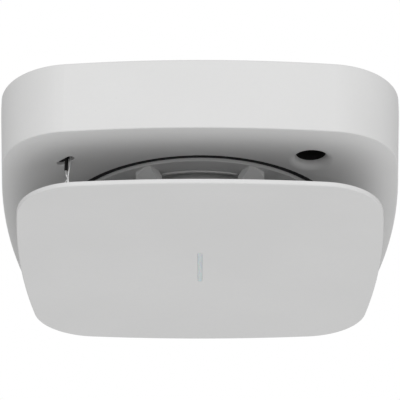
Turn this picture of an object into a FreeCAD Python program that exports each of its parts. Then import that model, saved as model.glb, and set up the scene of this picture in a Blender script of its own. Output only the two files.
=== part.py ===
"""Ceiling heat detector: a square, soft-cornered housing that twists onto a ceiling bracket.

Frame: millimetres, +Z up. The origin is the centre of the bracket's ceiling face, so the detector hangs
below Z = 0. The open air gap between the housing and the front plate leads room air past the thermistor.
Expressions are written with the sheet's aliases; bound() adds the sheet's name to them.
"""

import FreeCAD, Part
import math
import os
import re

import Sketcher

# ---------------------------------------------------------------- driving dimensions

DIMENSIONS = [
    # housing
    ("body_width", 124.0, "housing across its flats at the rim"),
    ("body_side_radius", 329.0, "slow curve of each side"),
    ("body_corner_radius", 23.0, "corner"),
    ("rim_gap", 0.8, "shadow gap between the ceiling and the rim"),
    ("wall_height", 22.1, "rim to underside"),
    ("wall_draft", 3.25, "degrees that the side wall leans in"),
    ("wall_thick", 2.2, ""),
    ("floor_thick", 2.0, ""),
    ("opening_radius", 43.9, "round well in the underside"),
    ("boss_offset", 53.0, "cover screw bosses from the centre"),
    ("boss_radius", 3.2, ""),
    ("boss_bore", 1.25, ""),
    # siren port and siren
    ("port_x", 32.7, ""),
    ("port_y", -41.3, ""),
    ("port_radius", 4.45, ""),
    ("port_flare", 2.2, "rounded mouth of the port"),
    ("port_boss_height", 2.5, ""),
    ("siren_x", 36.3, ""),
    ("siren_y", -44.4, ""),
    ("siren_radius", 11.4, ""),
    ("siren_wall", 1.0, ""),
    ("siren_height", 6.3, ""),
    ("gasket_thick", 0.5, ""),
    ("sleeve_wall", 0.5, "the gasket's sleeve, which lines the port"),
    ("sleeve_stop", 0.4, "floor's upper face to the sleeve's lower end"),
    # thermistor
    ("slot_x", -39.6, ""),
    ("slot_y", -40.6, ""),
    ("slot_length", 6.6, ""),
    ("slot_width", 2.3, ""),
    ("slot_turn", -46.0, "degrees"),
    ("thermistor_x", -38.9, ""),
    ("thermistor_y", -41.3, ""),
    ("lead_radius", 0.26, ""),
    ("sleeve_radius", 0.55, ""),
    ("sleeve_drop", 3.3, "underside to the end of the sleeve"),
    ("bead_drop", 10.0, "underside to the middle of the bead"),
    ("bead_radius", 1.15, ""),
    # front plate
    ("air_gap", 13.8, "underside to the plate's back"),
    ("plate_width", 111.2, ""),
    ("plate_side_radius", 367.0, ""),
    ("plate_corner_radius", 19.8, ""),
    ("plate_thick", 1.5, ""),
    ("plate_boss_circle", 20.0, ""),
    ("plate_boss_radius", 3.2, ""),
    ("plate_boss_height", 2.2, ""),
    ("press_travel", 1.2, "stroke of the test plate"),
    # status light guide
    ("light_length", 20.0, ""),
    ("light_width", 1.3, ""),
    ("guide_radius", 2.6, ""),
    # carrier that holds the plate
    ("ring_outer", 42.0, ""),
    ("ring_inner", 40.6, ""),
    ("ring_height", 5.0, ""),
    ("web_drop", 0.7, "how far the web stands out of the well"),
    ("web_thick", 1.6, ""),
    ("neck_top", 32.0, ""),
    ("neck_foot", 29.5, ""),
    ("neck_bore", 28.0, ""),
    ("hub_thick", 1.4, ""),
    ("hub_hole", 9.0, ""),
    ("window_inner", 32.1, ""),
    ("window_outer", 35.5, ""),
    ("window_half_angle", 18.8, "degrees"),
    ("window_rim", 0.6, ""),
    ("window_rim_drop", 0.5, ""),
    ("leg_angle", 21.3, "degrees, from each side's middle to the legs beside it"),
    ("leg_tip", 41.8, "radius where a leg meets the ring"),
    ("leg_full", 35.2, "from the centre to where a leg is at its full width, along the leg"),
    ("leg_end", 26.8, "from the centre to a leg's inner end, along the leg"),
    ("leg_tip_width", 1.0, ""),
    ("leg_width", 7.8, ""),
    ("leg_depth", 3.4, "a leg's thickness, measured level"),
    ("leg_meet", 0.58, "share of the neck's height that stands clear of the legs"),
    ("leg_foot_height", 1.3, ""),
    ("post_circle", 38.1, ""),
    ("post_radius", 1.5, ""),
    ("stem_radius", 2.0, ""),
    ("return_coil_radius", 2.1, ""),
    ("return_wire_radius", 0.25, ""),
    ("screen_inner", 29.5, ""),
    ("screen_outer", 35.7, ""),
    ("screen_thick", 0.3, ""),
    # chassis, the black inner cup
    ("chassis_wall", 1.2, ""),
    ("skirt_gap", 0.35, "between the carrier's ring and the cup's skirt"),
    ("skirt_recess", 0.25, "underside to the skirt's lower end"),
    ("pilot_radius", 1.05, "holes for the small screws' threads"),
    ("chassis_thick", 1.5, ""),
    ("well_depth", 12.0, "ceiling to the chassis floor's upper face"),
    ("standoff_circle", 26.0, ""),
    ("standoff_radius", 2.5, ""),
    # board and switches
    ("board_depth", 8.2, "ceiling to the board's upper face"),
    ("board_thick", 1.6, ""),
    ("board_width", 114.6, ""),
    ("switch_x", 12.0, ""),
    ("switch_width", 6.0, ""),
    ("switch_height", 3.0, ""),
    ("button_x", 25.0, ""),
    ("button_y", -25.0, ""),
    ("button_radius", 3.0, ""),
    ("button_travel", 0.3, ""),
    ("tamper_x", -19.0, ""),
    ("tamper_y", 25.0, ""),
    ("tamper_radius", 1.8, ""),
    ("tamper_travel", 1.0, ""),
    # cells and their holders
    ("cell_radius", 7.8, ""),
    ("cell_length", 26.0, "without the positive cap"),
    ("cell_circle", 55.4, "centre of the detector to the cell's middle"),
    ("cell_depth", 10.8, "ceiling to the cell's axis"),
    ("holder_width", 17.4, ""),
    ("holder_length", 33.4, ""),
    ("holder_top", 5.6, "ceiling to the holder's top"),
    ("holder_bottom", 19.6, "ceiling to the holder's underside"),
    ("leaf_radius", 9.75, "bow of the sprung contacts"),
    ("leaf_thick", 0.25, ""),
    ("leaf_width", 6.0, ""),
    ("leaf_half_angle", 27.5, "degrees"),
    # back cover
    ("cover_width", 118.4, ""),
    ("cover_depth", 3.5, "ceiling to the cover's upper face"),
    ("cover_thick", 2.0, ""),
    # bracket and its bayonet
    ("bracket_width", 94.0, ""),
    ("bracket_side_radius", 250.0, ""),
    ("bracket_corner_radius", 18.0, ""),
    ("bracket_thick", 2.0, ""),
    ("screw_spacing", 60.0, "fixing holes, along X and along Y"),
    ("screw_hole_radius", 2.2, ""),
    ("slot_hole_length", 9.0, ""),
    ("head_recess_radius", 4.2, "screw head seat"),
    ("head_recess_depth", 0.8, ""),
    ("tab_x", -25.0, ""),
    ("tab_y", 25.0, ""),
    ("tab_width", 21.0, ""),
    ("tab_cut", 1.2, "width of the break line's cuts"),
    ("tab_bridge", 1.6, "bridges that hold the tear-off tab"),
    ("cable_hole_radius", 8.0, ""),
    ("hook_inner", 42.5, ""),
    ("hook_outer", 44.5, ""),
    ("hook_foot", 39.5, "inner radius of a hook's foot"),
    ("hook_half_angle", 3.5, "degrees"),
    ("hook_angle", 20.0, "degrees, first hook"),
    ("foot_top", 5.8, "ceiling to the foot's upper face"),
    ("foot_bottom", 7.3, "ceiling to the foot's lower face"),
    ("unlock_angle", 15.0, "degrees from locked to free"),
    ("bayonet_play", 0.4, ""),
]

doc = FreeCAD.newDocument("HeatDetector")
sheet = doc.addObject("Spreadsheet::Sheet", "Dims")
for row, (alias, number, note) in enumerate(DIMENSIONS, start=1):
    sheet.set("A%d" % row, alias)
    sheet.set("B%d" % row, str(number))
    sheet.set("C%d" % row, note)
    sheet.setAlias("B%d" % row, alias)
doc.recompute()

ALIASES = {alias for alias, _, _ in DIMENSIONS}

# Levels, as expressions
UNDERSIDE = "(-(rim_gap + wall_height))"
FLOOR_TOP = "(-(rim_gap + wall_height) + floor_thick)"
PLATE_BACK = "(-(rim_gap + wall_height + air_gap))"
WEB_UNDER = "(-(rim_gap + wall_height + web_drop))"
WEB_TOP = "(-(rim_gap + wall_height + web_drop) + web_thick)"
HUB_UNDER = "(-(rim_gap + wall_height + air_gap) + plate_boss_height)"
HUB_TOP = "(-(rim_gap + wall_height + air_gap) + plate_boss_height + hub_thick)"
WELL_TOP = "(-well_depth)"
WELL_CEILING = "(-(well_depth + chassis_thick))"
BOARD_TOP = "(-board_depth)"
BOARD_UNDER = "(-(board_depth + board_thick))"
COVER_TOP = "(-cover_depth)"
COVER_UNDER = "(-(cover_depth + cover_thick))"
GASKET_BOTTOM = "(-(rim_gap + wall_height) + floor_thick + port_boss_height)"
SIREN_BOTTOM = "(-(rim_gap + wall_height) + floor_thick + port_boss_height + gasket_thick)"
SIREN_TOP = "(-(rim_gap + wall_height) + floor_thick + port_boss_height + gasket_thick + siren_height)"

RIGHT_ANGLES = (0, 90, 180, 270)
DIAGONALS = (45, 135, 225, 315)
CELL_SIDES = (("left", 135), ("right", 45))
PARTS = []


# ---------------------------------------------------------------- expressions and document objects


def bound(expression):
    """The expression with the sheet's name before each alias, as the document reads it."""

    def named(match):
        word = match.group()
        return "Dims." + word if word in ALIASES else word

    return re.sub(r"[A-Za-z_]+", named, expression)


def value(expression):
    """The expression's number, now."""
    return float(sheet.evalExpression(bound(expression)))


def polar(radius, angle):
    """Two expressions: the point at that radius and at that angle in degrees."""
    return "(%s) * cos(%s)" % (radius, angle), "(%s) * sin(%s)" % (radius, angle)


def keep(item, label):
    """Names an object as one of the detector's sub-parts."""
    item.Label = label
    PARTS.append(item)
    return item


def place(item, x="0", y="0", z="0", turn=0, axis=(0, 0, 1)):
    """Puts an object at three expressions, turned by a number of degrees."""
    item.Placement = FreeCAD.Placement(
        FreeCAD.Vector(value(x), value(y), value(z)), FreeCAD.Rotation(FreeCAD.Vector(*axis), turn)
    )
    for letter, expression in zip("xyz", (x, y, z)):
        item.setExpression("Placement.Base." + letter, bound(expression))
    return item


def primitive(kind, x="0", y="0", z="0", turn=0, axis=(0, 0, 1), **sizes):
    """A Part primitive whose sizes are expressions."""
    item = doc.addObject("Part::" + kind, kind.lower())
    for name, expression in sizes.items():
        item.setExpression(name, bound(expression))
    return place(item, x, y, z, turn, axis)


def cylinder(radius, bottom, top, x="0", y="0"):
    """An upright cylinder between two levels."""
    return primitive("Cylinder", x, y, bottom, Radius=radius, Height="(%s) - (%s)" % (top, bottom))


def block(width, length, bottom, top, x="0", y="0"):
    """An upright block about a point, between two levels."""
    return primitive(
        "Box",
        "(%s) - (%s) / 2" % (x, width),
        "(%s) - (%s) / 2" % (y, length),
        bottom,
        Length=width,
        Width=length,
        Height="(%s) - (%s)" % (top, bottom),
    )


def fuse(*items):
    item = doc.addObject("Part::MultiFuse", "fuse")
    item.Shapes = list(items)
    item.Refine = True
    return item


def cut(base, *tools):
    item = doc.addObject("Part::Cut", "cut")
    item.Base = base
    item.Tool = tools[0] if len(tools) == 1 else fuse(*tools)
    return item


def group(items):
    """Several separate solids in one sub-part."""
    item = doc.addObject("Part::Compound", "group")
    item.Links = list(items)
    return item


# ---------------------------------------------------------------- sketches and features


def origin_feature(body, role):
    return [feature for feature in body.Origin.OriginFeatures if feature.Role == role][0]


def new_body(label):
    return keep(doc.addObject("PartDesign::Body", label), label)


def new_sketch(body, level="0", role="XY_Plane", x="0", y="0", turn=0):
    """A sketch on one of the body's own origin planes, moved along its normal to a level."""
    sketch = body.newObject("Sketcher::SketchObject", "sketch")
    sketch.AttachmentSupport = [(origin_feature(body, role), "")]
    sketch.MapMode = "FlatFace"
    sketch.AttachmentOffset = FreeCAD.Placement(
        FreeCAD.Vector(value(x), value(y), value(level)), FreeCAD.Rotation(FreeCAD.Vector(0, 0, 1), turn)
    )
    for letter, expression in zip("xyz", (x, y, level)):
        sketch.setExpression("AttachmentOffset.Base." + letter, bound(expression))
    return sketch


def constrain(sketch, *terms):
    """Adds a dimension whose last term is an expression."""
    index = sketch.addConstraint(Sketcher.Constraint(*terms[:-1], value(terms[-1])))
    sketch.setExpression("Constraints[%d]" % index, bound(terms[-1]))


def pin(sketch, edge, point, x, y):
    """Holds a point of an edge at two expressions from the sketch's origin."""
    constrain(sketch, "DistanceX", -1, 1, edge, point, x)
    constrain(sketch, "DistanceY", -1, 1, edge, point, y)


def circle(sketch, radius, x="0", y="0"):
    centre = FreeCAD.Vector(value(x), value(y), 0)
    edge = sketch.addGeometry(Part.Circle(centre, FreeCAD.Vector(0, 0, 1), value(radius)))
    pin(sketch, edge, 3, x, y)
    constrain(sketch, "Radius", edge, radius)


def arc_edge(start, end, radius, side):
    """The short arc from start to end, and which of its ends is start. It bulges to the right of travel
    where side is 1, and to the left where side is -1."""
    chord = end - start
    across = FreeCAD.Vector(chord.y, -chord.x, 0).normalize() * side
    depth = math.sqrt(max(0.0, radius**2 - (chord.Length / 2) ** 2))
    centre = (start + end) * 0.5 - across * depth
    first, last = (math.atan2(point.y - centre.y, point.x - centre.x) for point in (start, end))
    if side < 0:
        first, last = last, first
    if last < first:
        last += 2 * math.pi
    whole = Part.Circle(centre, FreeCAD.Vector(0, 0, 1), radius)
    return Part.ArcOfCircle(whole, first, last), 1 if side > 0 else 2


def outline(sketch, corners):
    """A closed outline. A corner is (x, y), or (x, y, radius, side) if an arc leaves it."""
    points = [FreeCAD.Vector(value(corner[0]), value(corner[1]), 0) for corner in corners]
    ends = []
    for index, corner in enumerate(corners):
        start, end = points[index], points[(index + 1) % len(points)]
        if len(corner) == 2:
            edge = sketch.addGeometry(Part.LineSegment(start, end))
            ends.append((edge, 1, 2))
            continue
        shape, first = arc_edge(start, end, value(corner[2]), corner[3])
        edge = sketch.addGeometry(shape)
        constrain(sketch, "Radius", edge, corner[2])
        ends.append((edge, first, 3 - first))
    for index, (edge, first, last) in enumerate(ends):
        following = ends[(index + 1) % len(ends)]
        sketch.addConstraint(Sketcher.Constraint("Coincident", edge, last, following[0], following[1]))
        pin(sketch, edge, first, corners[index][0], corners[index][1])


def squircle(sketch, half, side, corner):
    """A rounded square of eight tangent arcs: four slow sides and four tight corners."""
    reach, radius = value("(%s) - (%s)" % (side, half)), value(side)
    between = radius - value(corner)
    inset = (math.sqrt(2 * between**2 - reach**2) - reach) / 2
    half_turn = math.pi / 2 - math.atan2(inset + reach, inset)
    up = FreeCAD.Vector(0, 0, 1)
    edges = []
    for quarter in range(4):
        base = quarter * math.pi / 2
        middle = FreeCAD.Vector(-reach * math.cos(base), -reach * math.sin(base), 0)
        slow = Part.ArcOfCircle(Part.Circle(middle, up, radius), base - half_turn, base + half_turn)
        diagonal = base + math.pi / 4
        middle = FreeCAD.Vector(math.cos(diagonal), math.sin(diagonal), 0) * inset * math.sqrt(2)
        tight_circle = Part.Circle(middle, up, value(corner))
        tight = Part.ArcOfCircle(tight_circle, base + half_turn, base + math.pi / 2 - half_turn)
        edges += [sketch.addGeometry(slow), sketch.addGeometry(tight)]
    for index, edge in enumerate(edges):
        sketch.addConstraint(Sketcher.Constraint("Tangent", edge, 2, edges[(index + 1) % 8], 1))
        constrain(sketch, "Radius", edge, corner if index % 2 else side)
    shift = "((%s) - (%s))" % (side, half)
    for edge, x, y in zip(edges[::2], ("-" + shift, "0", shift, "0"), ("0", "-" + shift, "0", shift)):
        pin(sketch, edge, 3, x, y)


def obround(sketch, length, width):
    """A slot with round ends along the sketch's X, about its origin."""
    reach, half = "((%s) - (%s)) / 2" % (length, width), "(%s) / 2" % width
    end = "(%s) / 2" % length
    outline(
        sketch,
        [
            ("-" + reach, "-" + half),
            (reach, "-" + half, half + " * 1.0000001", 1),
            (end, "0", half + " * 1.0000001", 1),
            (reach, half),
            ("-" + reach, half, half + " * 1.0000001", 1),
            ("-" + end, "0", half + " * 1.0000001", 1),
        ],
    )


def rectangle(sketch, width, length, x="0", y="0"):
    low_x, high_x = "(%s) - (%s) / 2" % (x, width), "(%s) + (%s) / 2" % (x, width)
    low_y, high_y = "(%s) - (%s) / 2" % (y, length), "(%s) + (%s) / 2" % (y, length)
    outline(sketch, [(low_x, low_y), (high_x, low_y), (high_x, high_y), (low_x, high_y)])


def ring_sector(sketch, inner, outer, half_angle, corner):
    """A piece of a ring about the sketch's X, with rounded corners."""
    lines = {}
    for name, radius, sign in (("outer", outer, "-"), ("inner", inner, "+")):
        centre = "((%s) %s (%s))" % (radius, sign, corner)
        turned = "((%s) * 1 deg - asin((%s) / %s))" % (half_angle, corner, centre)
        along = "sqrt(%s^2 - (%s)^2)" % (centre, corner)
        lines[name] = (polar(radius, turned), polar(along, "(%s) * 1 deg" % half_angle))
    (outer_arc, outer_line), (inner_arc, inner_line) = lines["outer"], lines["inner"]
    mirrored = [(x, "-(%s)" % y) for x, y in (outer_arc, outer_line, inner_arc, inner_line)]
    outline(
        sketch,
        [
            (*mirrored[0], outer, 1),
            (*outer_arc, corner, 1),
            outer_line,
            (*inner_line, corner, 1),
            (*inner_arc, inner, -1),
            (*mirrored[2], corner, 1),
            mirrored[3],
            (*mirrored[1], corner, 1),
        ],
    )


def feature(body, kind, sketch, length=None, reverse=False, taper=None):
    """Adds a feature and checks that it changed the body's volume."""
    doc.recompute()
    before = body.Shape.Volume if body.Shape and not body.Shape.isNull() else 0.0
    item = body.newObject("PartDesign::" + kind, kind.lower())
    item.Profile = sketch
    item.Reversed = reverse
    if length is None:
        item.Type = 1
    else:
        item.setExpression("Length", bound(length))
    if taper is not None:
        item.setExpression("TaperAngle", bound(taper))
    doc.recompute()
    if abs(body.Shape.Volume - before) < 1e-6:
        raise RuntimeError("%s changed nothing in %s" % (kind, body.Label))
    return item


def pad(body, sketch, length, down=False, taper=None):
    return feature(body, "Pad", sketch, length, down, taper)


def pocket(body, sketch, length=None, up=False, taper=None):
    """Cuts down from the sketch, or up, to a depth or right through."""
    return feature(body, "Pocket", sketch, length, up, taper)


def revolve(body, corners, kind="Revolution", x="0", y="0"):
    """Turns a profile of (radius, level) corners about an upright axis at (x, y)."""
    sketch = new_sketch(body, "-(%s)" % y, "XZ_Plane", x=x)
    outline(sketch, corners)
    item = body.newObject("PartDesign::" + kind, kind.lower())
    item.Profile = sketch
    item.ReferenceAxis = (sketch, ["V_Axis"])
    item.Angle = 360
    doc.recompute()
    return item


def around(body, original, count):
    """Repeats a feature about the body's own upright axis."""
    pattern = body.newObject("PartDesign::PolarPattern", "pattern")
    pattern.Originals = [original]
    pattern.Axis = (origin_feature(body, "Z_Axis"), [""])
    pattern.Angle = 360
    pattern.Occurrences = count
    body.Tip = pattern
    doc.recompute()
    return pattern


def edges_where(shape, test):
    return ["Edge%d" % (index + 1) for index, edge in enumerate(shape.Edges) if test(edge)]


def at_level(edge, level):
    box = edge.BoundBox
    return abs(box.ZMin - level) < 1e-3 and abs(box.ZMax - level) < 1e-3


def round_edges(body, radius, test, kind="Fillet"):
    """Fillets or chamfers the edges of the body's tip that pass the test."""
    base = body.Tip
    item = body.newObject("PartDesign::" + kind, kind.lower())
    item.Base = (base, edges_where(base.Shape, test))
    item.setExpression("Radius" if kind == "Fillet" else "Size", bound(radius))
    doc.recompute()
    return item


def corners_beyond(edge, reach):
    """True if the edge lies wholly outside a square of that half width."""
    box = edge.BoundBox
    return max(abs(box.XMin), abs(box.XMax), abs(box.YMin), abs(box.YMax)) > reach


# ---------------------------------------------------------------- housing


def make_housing():
    """One-piece shell, open to the ceiling, with the round well, the siren port and the thermistor slot."""
    body = new_body("housing")
    rim = new_sketch(body, "-rim_gap")
    squircle(rim, "body_width / 2", "body_side_radius", "body_corner_radius")
    pad(body, rim, "wall_height", down=True, taper="-wall_draft")
    cavity = new_sketch(body, "-rim_gap")
    inner = [name + " - wall_thick" for name in ("body_width / 2", "body_side_radius", "body_corner_radius")]
    squircle(cavity, *inner)
    pocket(body, cavity, "wall_height - floor_thick", taper="-wall_draft")

    bosses = new_sketch(body, FLOOR_TOP)
    for angle in RIGHT_ANGLES:
        circle(bosses, "boss_radius", *polar("boss_offset", angle))
    pad(body, bosses, COVER_UNDER + " - " + FLOOR_TOP)
    port_boss = new_sketch(body, FLOOR_TOP)
    circle(port_boss, "port_radius + port_flare + 0.8", "port_x", "port_y")
    pad(body, port_boss, "port_boss_height")

    openings = new_sketch(body, FLOOR_TOP)
    circle(openings, "opening_radius")
    pocket(body, openings)
    throat = new_sketch(body, FLOOR_TOP + " + port_boss_height")
    circle(throat, "port_radius", "port_x", "port_y")
    pocket(body, throat)
    lining = new_sketch(body, FLOOR_TOP + " + port_boss_height")
    circle(lining, "port_radius + sleeve_wall", "port_x", "port_y")
    pocket(body, lining, "port_boss_height - sleeve_stop")
    bores = new_sketch(body, COVER_UNDER)
    for angle in RIGHT_ANGLES:
        circle(bores, "boss_bore", *polar("boss_offset", angle))
    pocket(body, bores, "%s - %s" % (COVER_UNDER, FLOOR_TOP))
    slot = new_sketch(body, FLOOR_TOP, x="slot_x", y="slot_y", turn=value("slot_turn"))
    obround(slot, "slot_length", "slot_width")
    pocket(body, slot)

    low, high = value(UNDERSIDE), value("-rim_gap")
    port = value("port_radius")
    round_edges(
        body,
        "port_flare",
        lambda edge: at_level(edge, low)
        and isinstance(edge.Curve, Part.Circle)
        and abs(edge.Curve.Radius - port) < 1e-3,
    )
    reach = value("body_width / 2") - 25
    round_edges(body, "0.35", lambda edge: at_level(edge, low) and corners_beyond(edge, reach))
    outer = value("body_width / 2 - wall_thick / 2")
    round_edges(
        body,
        "0.6",
        lambda edge: at_level(edge, high) and edge.CenterOfMass.Length > 50 and outside_wall(edge, outer),
    )


def outside_wall(edge, middle):
    """True for an edge on the wall's outer face: its middle lies beyond the wall's middle line."""
    point = edge.valueAt((edge.FirstParameter + edge.LastParameter) / 2)
    across = max(abs(point.x), abs(point.y))
    if across > 50:
        return across > middle
    return math.hypot(point.x, point.y) > middle * 1.19


# ---------------------------------------------------------------- front plate, carrier and light guide


def make_front_plate():
    """Thin square plate below the air gap; pressing it runs the test."""
    body = new_body("front_plate")
    face = new_sketch(body, PLATE_BACK)
    squircle(face, "plate_width / 2", "plate_side_radius", "plate_corner_radius")
    pad(body, face, "plate_thick", down=True)
    bosses = new_sketch(body, PLATE_BACK)
    for angle in DIAGONALS:
        circle(bosses, "plate_boss_radius", *polar("plate_boss_circle", angle))
    pad(body, bosses, "plate_boss_height")
    bores = new_sketch(body, HUB_UNDER)
    for angle in DIAGONALS:
        circle(bores, "pilot_radius", *polar("plate_boss_circle", angle))
    pocket(body, bores, "plate_boss_height + 0.7")
    light = new_sketch(body, PLATE_BACK, turn=90)
    obround(light, "light_length + 0.1", "light_width + 0.1")
    pocket(body, light)
    low, back, reach = value(PLATE_BACK + " - plate_thick"), value(PLATE_BACK), value("plate_width / 2") - 25
    round_edges(body, "0.4", lambda edge: at_level(edge, low) and corners_beyond(edge, reach))
    round_edges(body, "0.25", lambda edge: at_level(edge, back) and corners_beyond(edge, reach))


def make_carrier():
    """Round basket that slides in the well: ring, web with air windows, neck and eight sloping legs."""
    body = new_body("plate_carrier")
    revolve(
        body,
        [
            ("ring_outer", UNDERSIDE + " + ring_height"),
            ("ring_outer", WEB_UNDER),
            ("neck_top", WEB_UNDER),
            ("neck_foot", PLATE_BACK),
            ("neck_bore", PLATE_BACK),
            ("neck_bore", HUB_UNDER),
            ("hub_hole", HUB_UNDER),
            ("hub_hole", HUB_TOP),
            ("neck_bore", HUB_TOP),
            ("neck_bore", WEB_TOP),
            ("ring_inner", WEB_TOP),
            ("ring_inner", UNDERSIDE + " + ring_height"),
        ],
    )
    point, offset = polar("leg_tip", "leg_angle")
    for sign in ("-", ""):
        low, high = ["%s%s %s " % (sign, offset, side) for side in "-+"]
        leg = new_sketch(body, WEB_UNDER)
        outline(
            leg,
            [
                ("leg_end", low + "leg_width / 2"),
                ("leg_full", low + "leg_width / 2"),
                (point, low + "leg_tip_width / 2"),
                (point, high + "leg_tip_width / 2"),
                ("leg_full", high + "leg_width / 2"),
                ("leg_end", high + "leg_width / 2"),
            ],
        )
        around(body, pad(body, leg, "air_gap - web_drop - 0.6", down=True), 4)
    outer_foot = "neck_foot + 0.35"
    revolve(
        body,
        [
            ("leg_tip", WEB_UNDER),
            (outer_foot, PLATE_BACK + " + leg_foot_height"),
            (outer_foot, PLATE_BACK + " - 1"),
            ("ring_outer + 2", PLATE_BACK + " - 1"),
            ("ring_outer + 2", WEB_UNDER),
        ],
        kind="Groove",
    )
    meet_radius = "neck_top - (neck_top - neck_foot) * leg_meet"
    meet_level = "%s - (%s - %s) * leg_meet" % (WEB_UNDER, WEB_UNDER, PLATE_BACK)
    revolve(
        body,
        [
            ("neck_top", WEB_UNDER),
            (meet_radius, meet_level),
            ("leg_tip - leg_depth", WEB_UNDER),
        ],
        kind="Groove",
    )
    collar = new_sketch(body, WEB_UNDER)
    ring_sector(
        collar,
        "window_inner - 0.05",
        "window_outer + window_rim",
        "(window_half_angle + 1.0)",
        "1.6",
    )
    around(body, pad(body, collar, "window_rim_drop", down=True), 8)
    window = new_sketch(body, WEB_TOP)
    ring_sector(window, "window_inner", "window_outer", "window_half_angle", "1.0")
    around(body, pocket(body, window, "web_thick + window_rim_drop + 0.2"), 8)

    posts = new_sketch(body, WEB_TOP)
    for angle in RIGHT_ANGLES:
        circle(posts, "post_radius", *polar("post_circle", angle))
    pad(body, posts, WELL_TOP + " + 0.1 - " + WEB_TOP)
    pilots = new_sketch(body, WELL_TOP + " + 0.1")
    for angle in RIGHT_ANGLES:
        circle(pilots, "0.9", *polar("post_circle", angle))
    pocket(body, pilots, "5.5")
    stem = new_sketch(body, HUB_TOP)
    circle(stem, "stem_radius", "switch_x")
    pad(body, stem, "(%s - 0.7 - press_travel - 0.05) - %s" % (BOARD_UNDER + " - switch_height", HUB_TOP))
    holes = new_sketch(body, HUB_TOP)
    for angle in DIAGONALS:
        circle(holes, "1.2", *polar("plate_boss_circle", angle))
    pocket(body, holes, "hub_thick + 0.1")


def make_light_guide():
    """Clear rod from the status light that fans out into a slim bar, flush with the front plate."""
    body = new_body("light_guide")
    top, fan = WELL_TOP + " - 0.3", PLATE_BACK + " + 6"
    rod = new_sketch(body, top)
    circle(rod, "guide_radius")
    pad(body, rod, "(%s) - (%s)" % (top, fan), down=True)
    blade = new_sketch(body, "-light_width / 2", "YZ_Plane")
    end, tip = "light_length / 2", PLATE_BACK + " - plate_thick"
    outline(
        blade,
        [
            ("-guide_radius", fan + " + 1"),
            ("-(%s)" % end, PLATE_BACK + " + 0.6"),
            ("-(%s)" % end, tip),
            (end, tip),
            (end, PLATE_BACK + " + 0.6"),
            ("guide_radius", fan + " + 1"),
        ],
    )
    pad(body, blade, "light_width")
    reach = value(end) - 1e-3
    round_edges(
        body,
        "light_width / 2 - 0.01",
        lambda edge: edge.BoundBox.ZLength > 1
        and edge.BoundBox.YLength < 1e-6
        and min(abs(edge.BoundBox.YMin), abs(edge.BoundBox.YMax)) > reach,
    )


def make_insect_screen():
    body = new_body("insect_screen")
    ring = new_sketch(body, WEB_TOP)
    circle(ring, "screen_outer")
    circle(ring, "screen_inner")
    pad(body, ring, "screen_thick")


def spring(radius, wire, bottom, top, turns, x="0", y="0"):
    """A coil spring between two levels."""
    low = "(%s) + %s * 1.1" % (bottom, wire)
    height = "(%s) - (%s) - %s * 2.2" % (top, bottom, wire)
    coil = primitive("Helix", x, y, low, Radius=radius, Height=height, Pitch="(%s) / %s" % (height, turns))
    section = primitive("Circle", "(%s) + (%s)" % (x, radius), y, low, Radius=wire)
    upright = FreeCAD.Rotation(FreeCAD.Vector(1, 0, 0), 90)
    section.Placement = FreeCAD.Placement(section.Placement.Base, upright)
    return swept(section, coil)


def swept(section, coil):
    """A wire: the section carried along a helix."""
    sweep = doc.addObject("Part::Sweep", "wire")
    sweep.Sections = [section]
    sweep.Spine = (coil, ["Edge1"])
    sweep.Solid = True
    sweep.Frenet = True
    return sweep


def make_return_springs():
    """Four springs round the carrier's posts, which push the plate back down."""
    coils = []
    for angle in RIGHT_ANGLES:
        spot = polar("post_circle", angle)
        coils.append(spring("return_coil_radius", "return_wire_radius", WEB_TOP, WELL_CEILING, 5, *spot))
    keep(group(coils), "return_springs")


# ---------------------------------------------------------------- chassis and board


def make_chassis():
    """Black cup above the well: it guides the carrier's posts and holds the board, and its skirt lines
    the well round the carrier's ring."""
    body = new_body("inner_chassis")
    outer, skirt = "opening_radius + chassis_wall", "opening_radius - 0.05"
    inner, skirt_end = "ring_outer + skirt_gap", UNDERSIDE + " + skirt_recess"
    revolve(
        body,
        [
            (inner, skirt_end),
            (skirt, skirt_end),
            (skirt, FLOOR_TOP),
            (outer, FLOOR_TOP),
            (outer, WELL_TOP),
            ("guide_radius + 0.8", WELL_TOP),
            ("guide_radius + 0.8", WELL_CEILING),
            (inner, WELL_CEILING),
        ],
    )
    standoffs = new_sketch(body, WELL_TOP)
    for angle in DIAGONALS:
        circle(standoffs, "standoff_radius", *polar("standoff_circle", angle))
    pad(body, standoffs, "well_depth - board_depth - board_thick")
    bores = new_sketch(body, BOARD_UNDER)
    for angle in DIAGONALS:
        circle(bores, "pilot_radius", *polar("standoff_circle", angle))
    pocket(body, bores, "3.2")
    holes = new_sketch(body, WELL_TOP)
    for angle in RIGHT_ANGLES:
        circle(holes, "post_radius + 0.1", *polar("post_circle", angle))
    rectangle(holes, "switch_width + 1", "switch_width + 1", "switch_x")
    pocket(body, holes, "chassis_thick + 0.1")


def make_board():
    """Circuit board under the back cover, cut away for the two cell holders."""
    body = new_body("main_board")
    edge = new_sketch(body, BOARD_TOP)
    squircle(edge, "board_width / 2", "body_side_radius - 5", "body_corner_radius - 5")
    pad(body, edge, "board_thick", down=True)
    for _, angle in CELL_SIDES:
        bay = new_sketch(body, BOARD_TOP, turn=angle)
        rectangle(bay, "holder_width + 8", "holder_length + 0.8", "cell_circle + 3.6")
        pocket(body, bay)
    holes = new_sketch(body, BOARD_TOP)
    for angle in RIGHT_ANGLES:
        circle(holes, "boss_radius + 0.4", *polar("boss_offset", angle))
        circle(holes, "3.4", *polar("post_circle", angle))
    for angle in DIAGONALS:
        circle(holes, "1.3", *polar("standoff_circle", angle))
    pocket(body, holes)


def on_board(width, length, height, x, y):
    """A flat component on the board's upper face."""
    return block(width, length, BOARD_TOP, BOARD_TOP + " + " + height, x, y)


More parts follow.
